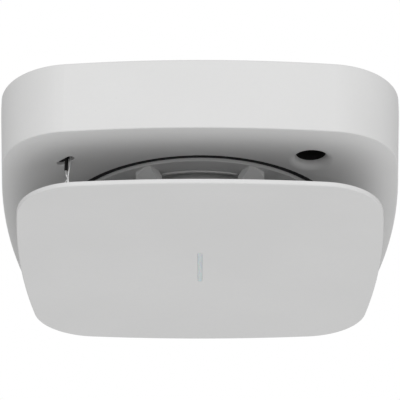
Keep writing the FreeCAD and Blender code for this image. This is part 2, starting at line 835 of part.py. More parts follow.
def make_board_parts():
    """The controller, the radio's can, the small parts, the antenna coil and the reservoir capacitor."""
    keep(on_board("7", "7", "0.9", "-14", "-6"), "microcontroller")
    can = on_board("17", "14", "2.0", "13", "16")
    hollow = on_board("16.4", "13.4", "1.8", "13", "16")
    keep(cut(can, hollow), "radio_shield")
    small = []
    for index in range(7):
        small.append(on_board("1.6", "0.8", "0.5", "-22", "%d" % (4 - 3 * index)))
        small.append(on_board("1.0", "2.0", "0.6", "%d" % (-12 + 3 * index), "-14"))
    keep(group(small), "small_components")

    lying = {"turn": 90, "axis": (-1, 0, 0)}
    under = BOARD_UNDER + " - "
    wire = primitive(
        "Helix", "-51", "5", under + "3.2", Radius="2.4", Height="17", Pitch="1.7", **lying
    )
    section = primitive("Circle", "-51 + 2.4", "5", under + "3.2", Radius="0.3")
    keep(swept(section, wire), "antenna_coil")
    can_body = primitive("Cylinder", "51", "9", under + "4.2", Radius="4", Height="11", **lying)
    keep(can_body, "reservoir_capacitor")


def make_status_light():
    led = block("3.2", "2.8", BOARD_UNDER + " - 0.6", BOARD_UNDER)
    lens = cylinder("1.2", BOARD_UNDER + " - 1.0", BOARD_UNDER + " - 0.3")
    keep(fuse(led, lens), "status_led")


def make_switches():
    """The test switch under the board and the power switch on top of it."""
    body = block("switch_width", "switch_width", BOARD_UNDER + " - switch_height", BOARD_UNDER, "switch_x")
    stem = cylinder("1.7", BOARD_UNDER + " - switch_height - 0.7", BOARD_UNDER + " - 1", "switch_x")
    keep(fuse(body, stem), "test_switch")
    place_at = ("button_x", "button_y")
    body = block("4.5", "4.5", BOARD_TOP, BOARD_TOP + " + 1.3", *place_at)
    stem = cylinder("1.0", BOARD_TOP + " + 1", BOARD_TOP + " + 1.65", *place_at)
    keep(fuse(body, stem), "power_switch")
    cap = cylinder("button_radius", COVER_UNDER + " - 0.6", COVER_TOP + " + 0.2", *place_at)
    flange = cylinder("button_radius + 1", COVER_UNDER + " - 0.7", COVER_UNDER + " - 0.2", *place_at)
    keep(fuse(cap, flange), "power_button")


def make_tamper():
    """Sprung plunger that feels the bracket's tear-off tab."""
    spot = ("tamper_x", "tamper_y")
    pin_body = cylinder("tamper_radius", COVER_UNDER + " - 1", "-bracket_thick - 0.05", *spot)
    flange = cylinder("tamper_radius + 1", COVER_UNDER + " - 0.7", COVER_UNDER + " - 0.1", *spot)
    tail = cylinder("1.2", COVER_UNDER + " - 1.4", COVER_UNDER + " - 0.5", *spot)
    keep(fuse(pin_body, flange, tail), "tamper_plunger")
    keep(spring("2.0", "0.15", BOARD_TOP, COVER_UNDER + " - 0.7", 3, *spot), "tamper_spring")


# ---------------------------------------------------------------- cells


def at_cell(item, angle, along="0", outward="0", z="0"):
    """Puts an object modelled along X about the origin into a cell's place, X along the cell."""
    radius = "(cell_circle + (%s))" % outward
    x = "%s * cos(%d) - (%s) * sin(%d)" % (radius, angle, along, angle)
    y = "%s * sin(%d) + (%s) * cos(%d)" % (radius, angle, along, angle)
    return place(item, x, y, z, angle + 90)


def bowed_leaf():
    """A strip bowed towards its local +X, standing on its long edge."""
    sectors = []
    for radius in ("leaf_radius", "leaf_radius - leaf_thick"):
        sector = primitive("Cylinder", Radius=radius, Height="leaf_width", Angle="leaf_half_angle * 2 deg")
        sector.Placement = FreeCAD.Placement(
            FreeCAD.Vector(), FreeCAD.Rotation(FreeCAD.Vector(0, 0, 1), -value("leaf_half_angle"))
        )
        sectors.append(sector)
    return cut(*sectors)


def make_cells():
    """Two lithium cells in black trays, each between a flat contact and a bowed spring contact."""
    plates, leaves = [], []
    for side, angle in CELL_SIDES:
        cell = new_body("cell_" + side)
        cap_end = "cell_length / 2 + 0.5"
        revolve_along(
            cell,
            [
                ("-cell_length / 2 - 0.5", "0"),
                ("-cell_length / 2 - 0.5", "cell_radius - 0.4"),
                ("-cell_length / 2 - 0.1", "cell_radius"),
                ("cell_length / 2 - 0.9", "cell_radius"),
                ("cell_length / 2 - 0.5", "cell_radius - 0.4"),
                ("cell_length / 2 - 0.5", "3.2"),
                (cap_end, "3.2"),
                (cap_end, "0"),
            ],
        )
        at_cell(cell, angle, along="-0.6", z="-cell_depth")

        tray = new_body("cell_holder_" + side)
        plan = new_sketch(tray, "-holder_bottom")
        long_half, wide_half = "holder_length / 2", "holder_width / 2"
        outline(
            plan,
            [
                ("-" + long_half, wide_half),
                ("-" + long_half, "-(%s - 3)" % wide_half),
                ("-(%s - 3)" % long_half, "-" + wide_half),
                ("%s - 3" % long_half, "-" + wide_half),
                (long_half, "-(%s - 3)" % wide_half),
                (long_half, wide_half),
            ],
        )
        pad(tray, plan, "holder_bottom - holder_top")
        inside = new_sketch(tray, "-holder_length / 2 + 1.2", "YZ_Plane")
        trough, axis_level = "(cell_radius + 0.2)", "-cell_depth"
        outline(
            inside,
            [
                ("-" + trough, axis_level, trough + " * 1.0000001", 1),
                ("0", axis_level + " - " + trough, trough + " * 1.0000001", 1),
                (trough, axis_level),
                (trough, "0"),
                ("-" + trough, "0"),
            ],
        )
        pocket(tray, inside, "holder_length - 2.4", up=True)
        at_cell(tray, angle)

        inner_end = "(holder_length / 2 - 1.2)"
        plate = doc.addObject("Part::Box", "contact")
        for name, size in (("Length", "0.4"), ("Width", "8"), ("Height", "9")):
            plate.setExpression(name, bound(size))
        plates.append(at_cell(plate, angle, inner_end + " - 0.41", "4", "-cell_depth - 4.5"))
        leaf = bowed_leaf()
        at_cell(leaf, angle, "-%s + 1.37 - leaf_radius" % inner_end, z="-cell_depth - leaf_width / 2")
        leaf.Placement = FreeCAD.Placement(leaf.Placement.Base, FreeCAD.Rotation(angle + 90, 0, 0))
        leaves.append(leaf)
    keep(group(plates), "cell_contact_plates")
    keep(group(leaves), "cell_contact_springs")


def revolve_along(body, corners):
    """Turns a profile of (length, radius) corners about the body's X axis."""
    sketch = new_sketch(body, "0", "XZ_Plane")
    outline(sketch, corners)
    item = body.newObject("PartDesign::Revolution", "revolution")
    item.Profile = sketch
    item.ReferenceAxis = (sketch, ["H_Axis"])
    item.Angle = 360
    doc.recompute()


# ---------------------------------------------------------------- siren


def make_siren():
    """Resonator over the port, its gasket, the piezo disc in two layers and the disc's spring contacts."""
    spot = ("siren_x", "siren_y")
    port = ("port_x", "port_y")
    ledge = SIREN_TOP + " - 1.0"
    shell = cylinder("siren_radius", SIREN_BOTTOM, SIREN_TOP, *spot)
    chamber = cylinder("siren_radius - siren_wall - 1", SIREN_BOTTOM + " + 1", SIREN_TOP, *spot)
    seat = cylinder("siren_radius - siren_wall", ledge, SIREN_TOP, *spot)
    throat = cylinder("port_radius", SIREN_BOTTOM, SIREN_BOTTOM + " + 2", *port)
    keep(cut(shell, chamber, seat, throat), "siren_resonator")
    sleeve_end = FLOOR_TOP + " + sleeve_stop"
    seal = fuse(
        cylinder("port_radius + 3", GASKET_BOTTOM, SIREN_BOTTOM, *port),
        cylinder("port_radius + sleeve_wall", sleeve_end, SIREN_BOTTOM, *port),
    )
    keep(cut(seal, cylinder("port_radius", sleeve_end, SIREN_BOTTOM, *port)), "siren_gasket")
    brass = cylinder("siren_radius - siren_wall - 0.2", ledge, ledge + " + 0.25", *spot)
    keep(brass, "piezo_brass_disc")
    ceramic = cylinder("siren_radius - siren_wall - 3", ledge + " + 0.25", ledge + " + 0.5", *spot)
    keep(ceramic, "piezo_ceramic")
    inner = spring("0.9", "0.15", ledge + " + 0.5", BOARD_UNDER, 4, "siren_x - 2.5", "siren_y")
    outer = spring("0.9", "0.15", ledge + " + 0.25", BOARD_UNDER, 4, "siren_x + 8.4", "siren_y")
    keep(group([inner, outer]), "siren_contact_springs")


# ---------------------------------------------------------------- thermistor


def tube(points, radius):
    """A round wire along straight runs joined by tangent arcs."""
    route = [FreeCAD.Vector(*(value(term) for term in point)) for point in points]
    edges, start = [], route[0]
    for before, corner, after in zip(route, route[1:], route[2:]):
        back, on = (before - corner).normalize(), (after - corner).normalize()
        turn = math.pi - back.getAngle(on)
        shorter = min((before - corner).Length, (after - corner).Length)
        bend = 0.45 * shorter / math.tan(turn / 2)
        leave = corner + back * bend * math.tan(turn / 2)
        arrive = corner + on * bend * math.tan(turn / 2)
        inward = (back + on).normalize()
        middle = corner + inward * (bend / math.cos(turn / 2) - bend)
        edges += [Part.LineSegment(start, leave).toShape(), Part.Arc(leave, middle, arrive).toShape()]
        start = arrive
    edges.append(Part.LineSegment(start, route[-1]).toShape())
    path = Part.Wire(edges)
    direction = (route[1] - route[0]).normalize()
    section = Part.Wire([Part.Circle(route[0], direction, radius).toShape()])
    return path.makePipeShell([section], True, True)


def make_thermistor():
    """The bead below the underside, its two crossing leads, the sleeve and the grommet in the slot."""
    x, y = "thermistor_x", "thermistor_y"
    bead_level = UNDERSIDE + " - bead_drop"
    bead_top = bead_level + " + bead_radius * 1.5"
    bead = primitive("Sphere", x, y, bead_level, Radius="bead_radius")
    coat = cylinder("bead_radius * 0.72", bead_level, bead_top, x, y)
    keep(fuse(bead, coat), "thermistor_bead")

    left_x, left_y = x + " - 0.45", y + " + 0.4"
    right_x, right_y = x + " + 0.7", y + " - 0.5"
    routes = [
        [
            (left_x, left_y, BOARD_UNDER),
            (left_x, left_y, UNDERSIDE + " - sleeve_drop - 0.4"),
            (x + " + 0.1", y + " + 0.35", UNDERSIDE + " - 6.0"),
            (x + " - 0.6", y, UNDERSIDE + " - 7.4"),
            (x + " - 0.4", y, bead_top + " + 0.5"),
            (x + " - 0.4", y, bead_top),
        ],
        [
            (right_x, right_y, BOARD_UNDER),
            (right_x, right_y, UNDERSIDE + " - 2.0"),
            (x + " + 0.3", y + " - 0.3", UNDERSIDE + " - 5.0"),
            (x + " + 0.3", y + " - 0.2", UNDERSIDE + " - 7.4"),
            (x + " + 0.4", y, bead_top + " + 0.5"),
            (x + " + 0.4", y, bead_top),
        ],
    ]
    wires = []
    for route in routes:
        wire = doc.addObject("Part::Feature", "lead")
        wire.Shape = tube(route, value("lead_radius"))
        wires.append(wire)
    keep(group(wires), "thermistor_leads")

    ends = (UNDERSIDE + " - sleeve_drop", FLOOR_TOP + " + 2")
    outer = cylinder("sleeve_radius", *ends, left_x, left_y)
    keep(cut(outer, cylinder("lead_radius + 0.02", *ends, left_x, left_y)), "lead_sleeve")

    grommet = new_body("thermistor_grommet")
    plug = new_sketch(grommet, FLOOR_TOP + " + 0.5", x="slot_x", y="slot_y", turn=value("slot_turn"))
    obround(plug, "slot_length - 0.1", "slot_width - 0.1")
    pad(grommet, plug, "1.3", down=True)
    flange = new_sketch(grommet, FLOOR_TOP + " + 0.5", x="slot_x", y="slot_y", turn=value("slot_turn"))
    obround(flange, "slot_length + 2", "slot_width + 2")
    pad(grommet, flange, "0.49", down=True)
    holes = new_sketch(grommet, FLOOR_TOP + " + 0.5")
    circle(holes, "sleeve_radius + 0.02", left_x, left_y)
    circle(holes, "lead_radius + 0.03", right_x, right_y)
    pocket(grommet, holes)


# ---------------------------------------------------------------- back cover, screws and bracket


def arc_slot(body, level, inner, outer, first, last):
    """A sketch of a piece of a ring between two angles, drawn about its own middle."""
    middle = "((%s) + (%s)) / 2" % (first, last)
    sketch = new_sketch(body, level, turn=value(middle))
    ring_sector(sketch, inner, outer, "((%s) - (%s)) / 2" % (last, first), "0.4")
    return sketch


def make_back_cover():
    """Plate that closes the head, with the cell openings and the bayonet's four keyed slots."""
    body = new_body("back_cover")
    edge = new_sketch(body, COVER_TOP)
    squircle(edge, "cover_width / 2", "body_side_radius - 2.8", "body_corner_radius - 2.8")
    pad(body, edge, "cover_thick", down=True)
    for _, angle in CELL_SIDES:
        bay = new_sketch(body, COVER_TOP, turn=angle)
        rectangle(bay, "2 * cell_radius + 0.2", "cell_length + 2.4", "cell_circle")
        pocket(body, bay)
    first, play = "hook_angle - hook_half_angle - 0.8", "bayonet_play"
    last = "hook_angle + hook_half_angle + 1.3 + unlock_angle"
    narrow = arc_slot(body, COVER_TOP, "hook_inner - " + play, "hook_outer + " + play, first, last)
    around(body, pocket(body, narrow), 4)
    entry_start = "hook_angle - hook_half_angle - 1.3 + unlock_angle"
    entry = arc_slot(body, COVER_TOP, "hook_foot - " + play, "hook_outer + " + play, entry_start, last)
    around(body, pocket(body, entry), 4)
    holes = new_sketch(body, COVER_TOP)
    for angle in RIGHT_ANGLES:
        circle(holes, "1.6", *polar("boss_offset", angle))
    circle(holes, "button_radius + 0.1", "button_x", "button_y")
    circle(holes, "tamper_radius + 0.1", "tamper_x", "tamper_y")
    pocket(body, holes)
    top = value(COVER_TOP)
    round_edges(
        body,
        "1.2",
        lambda edge: at_level(edge, top)
        and isinstance(edge.Curve, Part.Circle)
        and abs(edge.Curve.Radius - 1.6) < 1e-3,
        kind="Chamfer",
    )
    ribs = new_sketch(body, COVER_TOP)
    circle(ribs, "27.5")
    circle(ribs, "26.5")
    pad(body, ribs, "0.8")


def screw(x, y, seat, head_radius, head_height, shank_radius, length, flange=None):
    """A cross-head screw that points down, its head standing on a level."""
    head = cylinder(head_radius, seat, "%s + %s" % (seat, head_height), x, y)
    shank = cylinder(shank_radius, "%s - %s" % (seat, length), seat, x, y)
    pieces = [head, shank]
    if flange:
        pieces.append(cylinder(flange, seat, "%s + 0.5" % seat, x, y))
    top = "%s + %s" % (seat, head_height)
    cross = [
        block(across, along, "%s - %s * 0.6" % (top, head_height), top, x, y)
        for across, along in (("0.5", "%s * 1.2" % head_radius), ("%s * 1.2" % head_radius, "0.5"))
    ]
    return cut(fuse(*pieces), *cross)


def countersunk_screw(x, y, top, head_radius, shank_radius, length):
    """A cross-head countersunk screw that points down, its head flush with a level."""
    depth = "(%s - %s)" % (head_radius, shank_radius)
    neck = "%s - %s" % (top, depth)
    head = primitive("Cone", x, y, neck, Radius1=shank_radius, Radius2=head_radius, Height=depth)
    shank = cylinder(shank_radius, "%s - %s" % (top, length), neck, x, y)
    cross = [
        block(across, along, "%s - 0.9" % top, top, x, y) for across, along in (("0.6", "3"), ("3", "0.6"))
    ]
    return cut(fuse(head, shank), *cross)


def make_screws():
    cover, board, carrier, plate = [], [], [], []
    for angle in RIGHT_ANGLES:
        x, y = polar("boss_offset", angle)
        cover.append(countersunk_screw(x, y, COVER_TOP + " - 0.05", "2.7", "1.2", "11"))
        x, y = polar("post_circle", angle)
        carrier.append(screw(x, y, WELL_TOP + " + 0.1", "1.7", "1.0", "0.85", "4.5", flange="2.8"))
    for angle in DIAGONALS:
        x, y = polar("standoff_circle", angle)
        board.append(screw(x, y, BOARD_TOP, "2.2", "1.3", "1.0", "4.2"))
        x, y = polar("plate_boss_circle", angle)
        plate.append(screw(x, y, HUB_TOP, "2.2", "1.3", "1.0", "3.8"))
    for label, items in (
        ("cover_screws", cover),
        ("board_screws", board),
        ("carrier_screws", carrier),
        ("plate_screws", plate),
    ):
        keep(group(items), label)


def make_bracket():
    """Ceiling plate with fixing slots, a tear-off tamper tab and four bayonet hooks."""
    body = new_body("mounting_bracket")
    edge = new_sketch(body)
    squircle(edge, "bracket_width / 2", "bracket_side_radius", "bracket_corner_radius")
    pad(body, edge, "bracket_thick", down=True)
    for sign in ("-", ""):
        slot = new_sketch(body, x=sign + "screw_spacing / 2")
        obround(slot, "slot_hole_length", "2 * screw_hole_radius")
        pocket(body, slot)
        seat = new_sketch(body, "-bracket_thick", x=sign + "screw_spacing / 2")
        widen = "2 * (head_recess_radius - screw_hole_radius)"
        obround(seat, "slot_hole_length + " + widen, "2 * head_recess_radius")
        pocket(body, seat, "head_recess_depth", up=True)
    holes = new_sketch(body)
    seats = new_sketch(body, "-bracket_thick")
    spots = [("0", "screw_spacing / 2"), ("0", "-screw_spacing / 2"), ("tab_x", "tab_y")]
    for x, y in spots:
        circle(holes, "screw_hole_radius", x, y)
        circle(seats, "head_recess_radius", x, y)
    circle(holes, "cable_hole_radius", "-tab_x", "tab_y")
    circle(holes, "cable_hole_radius", "tab_x", "-tab_y")
    pocket(body, holes)
    pocket(body, seats, "head_recess_depth", up=True)

    cuts = new_sketch(body, x="tab_x", y="tab_y")
    long_cut, shift = "(tab_width / 2 - 1.5 * tab_bridge)", "(tab_width / 4 - tab_bridge / 4)"
    edge_line = "(tab_width - tab_cut) / 2"
    for near in ("-", ""):
        for along in ("-", ""):
            rectangle(cuts, long_cut, "tab_cut", along + shift, near + edge_line)
            rectangle(cuts, "tab_cut", long_cut, near + edge_line, along + shift)
    pocket(body, cuts)

    first, last = "hook_angle - hook_half_angle", "hook_angle + hook_half_angle"
    post = arc_slot(body, "-bracket_thick", "hook_inner", "hook_outer", first, last)
    around(body, pad(body, post, "foot_bottom - bracket_thick", down=True), 4)
    foot = arc_slot(body, "-foot_top", "hook_foot", "hook_outer", first, last)
    around(body, pad(body, foot, "foot_bottom - foot_top", down=True), 4)
    ribs = new_sketch(body, "-bracket_thick")
    circle(ribs, "16")
    circle(ribs, "14.6")
    pad(body, ribs, "0.8", down=True)
    rim = new_sketch(body)
    plan = ("bracket_width / 2", "bracket_side_radius", "bracket_corner_radius")
    for inset in (" - 1.6", " - 4.6"):
        squircle(rim, *[size + inset for size in plan])
    pocket(body, rim, "0.5")


# ---------------------------------------------------------------- build, check and write


def main():
    make_housing()
    make_front_plate()
    make_carrier()
    make_light_guide()
    make_insect_screen()
    make_return_springs()
    make_chassis()
    make_board()
    make_board_parts()
    make_status_light()
    make_switches()
    make_tamper()
    make_cells()
    make_siren()
    make_thermistor()
    make_back_cover()
    make_screws()
    make_bracket()
    doc.recompute()

    failed = [item.Label for item in doc.Objects if "Invalid" in item.State or "Error" in item.State]
    if failed:
        raise RuntimeError("these objects failed: %s" % failed)
    os.makedirs("parts", exist_ok=True)
    for item in PARTS:
        shape = item.Shape
        if shape.isNull() or not shape.isValid() or not shape.Solids:
            raise RuntimeError("%s has no valid solid" % item.Label)
        shape.exportStep("parts/%s.step" % item.Label)
        box = shape.BoundBox
        print(
            "%-24s %d solid(s) %9.1f mm3  z %7.2f to %7.2f"
            % (item.Label, len(shape.Solids), shape.Volume, box.ZMin, box.ZMax)
        )


main()
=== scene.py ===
"""The finished look of a square ceiling heat detector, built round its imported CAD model.

The file is laid out as an add-on and is run as a script. Each operator makes or finishes one group of
pieces; main() calls them in order. Lengths are metres in the CAD model's own frame: +Z up, the origin at
the centre of the ceiling face, and the detector hanging below it.
"""

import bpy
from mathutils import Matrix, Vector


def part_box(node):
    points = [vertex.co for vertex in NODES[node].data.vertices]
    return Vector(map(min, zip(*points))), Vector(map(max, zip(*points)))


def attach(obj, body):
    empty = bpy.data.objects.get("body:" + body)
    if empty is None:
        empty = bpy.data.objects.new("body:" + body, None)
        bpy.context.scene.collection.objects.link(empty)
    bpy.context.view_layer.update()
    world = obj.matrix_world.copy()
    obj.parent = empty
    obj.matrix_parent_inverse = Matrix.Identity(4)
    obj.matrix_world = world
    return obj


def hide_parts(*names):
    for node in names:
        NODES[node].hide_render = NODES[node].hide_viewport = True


bl_info = {
    "name": "Ceiling Heat Detector",
    "version": (1, 0, 0),
    "blender": (4, 5, 0),
    "location": "View3D > Sidebar > Detector",
    "description": "Builds the finished pieces and finishes of a square ceiling heat detector",
    "category": "Add Mesh",
}

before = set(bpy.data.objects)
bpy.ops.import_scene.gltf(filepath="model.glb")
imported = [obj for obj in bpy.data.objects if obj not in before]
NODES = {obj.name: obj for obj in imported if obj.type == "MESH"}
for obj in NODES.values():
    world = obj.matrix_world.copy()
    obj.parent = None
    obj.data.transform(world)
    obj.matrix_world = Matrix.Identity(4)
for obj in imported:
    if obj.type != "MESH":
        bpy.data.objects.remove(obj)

import math

import bmesh
import bpy
from bpy.props import FloatProperty, FloatVectorProperty, PointerProperty
from bpy.types import Operator, Panel, PropertyGroup
from mathutils import Vector

MM = 0.001
UP = (0.0, 0.0, 1.0)

# The leads' routes: millimetres from the bead's axis in X and Y, and below the underside. None stands
# for the lead's own top.
LEFT_ROUTE = ((-0.28, 0.35, 4.9), (0.12, 0.33, 6.0), (-0.5, 0.1, 7.2))
RIGHT_ROUTE = (
    (0.7, -0.5, None), (0.7, -0.5, 0.0), (0.62, -0.45, 2.6), (0.3, -0.3, 5.0), (0.28, -0.2, 7.2),
)
LEAD_SPACING = 0.36 * MM
SLEEVE_LIP = 0.4 * MM

# The cell's ends, in millimetres: (inset from its radius, distance in from the end it belongs to)
CELL_FOOT = ((0.9, 0.0), (0.5, 0.0), (0.15, 0.12), (0.02, 0.4))
CELL_CRIMP = ((0.02, 3.4), (0.25, 3.1), (0.25, 2.8), (0.02, 2.5), (0.02, 1.5), (0.2, 1.15), (0.6, 1.0))
# The positive cap: (radius, distance in from the end)
CELL_CAP = ((3.6, 1.05), (3.3, 0.9), (3.1, 0.15), (2.8, 0.0))

GRAIN = 0.00022
GRAIN_DEPTH = 0.000006
# Radius and height of the round dark disc of painted shade on the front plate's upward face.
PAINTED_SHADE_RADIUS = 47.0 * MM
PAINTED_SHADE_LEVEL = 1.45 * MM


# ---------------------------------------------------------------- shader maths


class Wire:
    """One output of a shader node. Arithmetic on it adds the nodes that work it out."""

    def __init__(self, finish, socket):
        self.finish = finish
        self.socket = socket

    def maths(self, operation, *terms):
        """A Math node, or a Vector Math node where a term is a vector."""
        wires = [term for term in terms if isinstance(term, Wire)]
        vector = any(wire.socket.type == "VECTOR" for wire in wires)
        kind = "ShaderNodeVectorMath" if vector else "ShaderNodeMath"
        if vector:
            terms = [(term,) * 3 if isinstance(term, (int, float)) else term for term in terms]
        return self.finish.node(kind, {"operation": operation}, dict(enumerate(terms)))

    def __add__(self, other):
        return self.maths("ADD", self, other)

    def __radd__(self, other):
        return self.maths("ADD", other, self)

    def __sub__(self, other):
        return self.maths("SUBTRACT", self, other)

    def __rsub__(self, other):
        return self.maths("SUBTRACT", other, self)

    def __mul__(self, other):
        return self.maths("MULTIPLY", self, other)

    def __rmul__(self, other):
        return self.maths("MULTIPLY", other, self)

    def along(self, direction):
        """How far this position lies along a direction."""
        return self.finish.node(
            "ShaderNodeVectorMath", {"operation": "DOT_PRODUCT"}, {0: self, 1: direction}, "Value"
        )

    def length(self):
        """The length of this vector."""
        return self.finish.node("ShaderNodeVectorMath", {"operation": "LENGTH"}, {0: self}, "Value")

    def step(self, low, high):
        """0 below low, 1 above high, and smooth between."""
        return self.finish.node(
            "ShaderNodeMapRange",
            {"interpolation_type": "SMOOTHSTEP"},
            {"Value": self, "From Min": low, "From Max": high},
        )


class Finish:
    """A material with one Principled shader. Constants are set on its sockets, and patterns are wired."""

    def __init__(self, name, **constants):
        self.material = bpy.data.materials.new(name)
        self.material.use_nodes = True
        self.tree = self.material.node_tree
        self.shader = self.tree.nodes["Principled BSDF"]
        for label, number in constants.items():
            socket = label.replace("_", " ").title().replace("Ior", "IOR")
            self.shader.inputs[socket].default_value = number

    def node(self, kind, settings=None, values=None, output=0):
        """Any node, by its type, its settings and the values or wires of its sockets."""
        made = self.tree.nodes.new(kind)
        for name, setting in (settings or {}).items():
            if name == "stops":
                self.set_stops(made.color_ramp, setting)
            else:
                setattr(made, name, setting)
        for key, value in (values or {}).items():
            if isinstance(value, Wire):
                self.tree.links.new(value.socket, made.inputs[key])
            else:
                made.inputs[key].default_value = value
        return Wire(self, made.outputs[output])

    def set_stops(self, ramp, stops):
        while len(ramp.elements) < len(stops):
            ramp.elements.new(0.5)
        for element, (position, colour) in zip(ramp.elements, stops):
            element.position = position
            element.color = (*colour, 1.0)

    def place(self):
        """The position on the piece, in metres."""
        return self.node("ShaderNodeTexCoord", output="Object")

    def noise(self, size, detail=2.0, stretch=(1.0, 1.0, 1.0)):
        """Noise from 0 to 1 whose blotches are about that size across, in metres."""
        at = self.place() * stretch
        values = {"Vector": at, "Scale": 1.0 / size, "Detail": detail, "Roughness": 0.55}
        return self.node("ShaderNodeTexNoise", None, values)

    def cells(self, size):
        """Distance from the nearest of many scattered points, about that far apart."""
        return self.node(
            "ShaderNodeTexVoronoi", None, {"Vector": self.place(), "Scale": 1.0 / size}, "Distance"
        )

    def mix(self, factor, first, second):
        """A colour between two colours."""
        first, second = (opaque(colour) for colour in (first, second))
        values = {0: factor, 6: first, 7: second}
        return self.node("ShaderNodeMix", {"data_type": "RGBA"}, values, 2)

    def colour(self, wire):
        self.tree.links.new(wire.socket, self.shader.inputs["Base Color"])

    def roughness(self, wire):
        self.tree.links.new(wire.socket, self.shader.inputs["Roughness"])

    def relief(self, height, depth, strength=1.0):
        """Bumps whose full height is depth, in metres."""
        values = {"Height": height, "Distance": depth, "Strength": strength}
        normal = self.node("ShaderNodeBump", None, values)
        self.tree.links.new(normal.socket, self.shader.inputs["Normal"])


def opaque(colour):
    """A plain colour with its alpha; a wire stays as it is."""
    return colour if isinstance(colour, Wire) else (*colour[:3], 1.0)


def shade(colour, amount):
    """A colour made lighter or darker."""
    return tuple(min(1.0, part * amount) for part in colour)


def grained(finish, colour, grain=GRAIN):
    """The tone of moulded plastic, its slow flow marks, and the height of its spark-eroded grain."""
    flow = finish.noise(0.045, 3.0)
    fine = finish.noise(grain)
    coarse = finish.noise(grain * 4.5)
    tone = finish.mix(flow.step(0.3, 0.7), shade(colour, 0.982), shade(colour, 1.012))
    tone = finish.mix(coarse.step(0.35, 0.8) * 0.25, tone, shade(colour, 0.955))
    return tone, flow, fine, coarse


def moulded(name, colour, roughness=0.46, grain=GRAIN, depth=GRAIN_DEPTH):
    """Moulded plastic with a fine grain, faint flow marks and a few dust specks."""
    finish = Finish(name, roughness=roughness, ior=1.49, specular_ior_level=0.42)
    tone, flow, fine, coarse = grained(finish, colour, grain)
    specks = finish.cells(0.0042).step(0.045, 0.03) * finish.noise(0.02).step(0.52, 0.66)
    finish.colour(finish.mix(specks * 0.14, tone, (0.30, 0.28, 0.25)))
    finish.roughness(roughness - 0.04 + flow * 0.05 + fine * 0.05 + specks * 0.1)
    finish.relief(fine * 0.6 + coarse * 0.4, depth)
    return finish.material


def with_painted_shade(name, colour, painted_shade_colour, level):
    """Moulded plastic with a round dark disc on its upward face, which is above a level. The disc is painted
    shade that darkens the gap between the plate and the housing.
    """
    finish = Finish(name, roughness=0.44, ior=1.49, specular_ior_level=0.42)
    tone, flow, fine, coarse = grained(finish, colour)
    place = finish.place()
    from_axis = (place * (1.0, 1.0, 0.0)).length()
    above = place.along(UP).step(level - 0.02 * MM, level)
    # Mask of the dark disc of painted shade, which darkens the gap between the plate and the housing.
    painted_shade_mask = above * (1.0 - from_axis.step(PAINTED_SHADE_RADIUS - 0.1 * MM, PAINTED_SHADE_RADIUS))
    finish.colour(finish.mix(painted_shade_mask, tone, finish.mix(fine, painted_shade_colour, shade(painted_shade_colour, 1.6))))
    finish.roughness(0.4 + flow * 0.05 + fine * 0.05 + painted_shade_mask * 0.4)
    finish.relief(fine * 0.6 + coarse * 0.4, GRAIN_DEPTH)
    return finish.material


def metal(name, colour, roughness=0.3, stretch=(1.0, 1.0, 14.0), scratch=0.00035):
    """Bare or plated metal with drawn or rolled lines and a slightly cloudy tone."""
    finish = Finish(name, metallic=1.0, roughness=roughness)
    lines = finish.noise(scratch, 3.0, stretch=stretch)
    cloud = finish.noise(0.004, 3.0)
    spots = finish.cells(0.0011).step(0.25, 0.1) * cloud.step(0.5, 0.7)
    tone = finish.mix(cloud.step(0.3, 0.75), shade(colour, 0.86), shade(colour, 1.06))
    finish.colour(finish.mix(spots * 0.3, tone, shade(colour, 0.55)))
    finish.roughness(roughness - 0.07 + lines * 0.16 + cloud * 0.06)
    finish.relief(lines, 0.000004)
    return finish.material


def soft_rubber(name, colour):
    """Matt rubber with a bloom and fine pores."""
    finish = Finish(name, roughness=0.78, specular_ior_level=0.3)
    bloom = finish.noise(0.003, 3.0)
    pores = finish.cells(0.0002)
    finish.colour(finish.mix(bloom.step(0.4, 0.75) * 0.5, colour, shade(colour, 2.4)))
    finish.roughness(0.7 + bloom * 0.16)
    finish.relief(pores, 0.000012)
    return finish.material


def frosted_guide(name, colour):
    """Milky clear plastic of a light guide, with a frosted face."""
    finish = Finish(
        name, roughness=0.34, ior=1.49, transmission_weight=0.25,
        subsurface_weight=0.3, subsurface_scale=0.002,
    )
    haze = finish.noise(0.0012, 3.0)
    frost = finish.noise(0.00012, 2.0)
    finish.colour(finish.mix(haze.step(0.3, 0.7), shade(colour, 0.93), colour))
    finish.roughness(0.28 + frost * 0.16)
    finish.relief(frost, 0.000005)
    return finish.material


def solder_mask(name, colour):
    """Circuit board: traces under green mask, a fine weave and tinned pads."""
    finish = Finish(name, roughness=0.3, coat_weight=0.3, coat_roughness=0.12)
    traces = {"Vector": finish.place(), "Scale": 160.0, "Mortar Size": 0.07, "Mortar Smooth": 0.2}
    bricks = finish.node("ShaderNodeTexBrick", {"offset": 0.5}, traces, "Fac")
    pads = finish.cells(0.0031).step(0.16, 0.13)
    weave = finish.noise(0.0004, 1.0, stretch=(1.0, 7.0, 1.0))
    board = finish.mix(weave * 0.4, colour, shade(colour, 0.75))
    board = finish.mix(bricks * 0.7, board, shade(colour, 1.8))
    finish.colour(finish.mix(pads, board, (0.62, 0.62, 0.58)))
    finish.roughness(0.26 + weave * 0.1 + pads * 0.1)
    finish.relief(bricks * 0.6 + pads, 0.00003)
    return finish.material


def chip_epoxy(name, colour):
    """Moulded chip packages: fine grained, near black."""
    finish = Finish(name, roughness=0.6)
    grain = finish.noise(0.00012, 2.0)
    dust = finish.noise(0.0015, 3.0)
    finish.colour(finish.mix(grain * 0.6 + dust.step(0.5, 0.8) * 0.2, colour, shade(colour, 2.6)))
    finish.roughness(0.52 + grain * 0.14)
    finish.relief(grain, 0.00001)
    return finish.material


def ring_of(along, start, end):
    """1 between two distances along a cell, in millimetres."""
    soft = 0.1
    return along.step((start - soft) * MM, start * MM) * (1.0 - along.step((end - soft) * MM, end * MM))


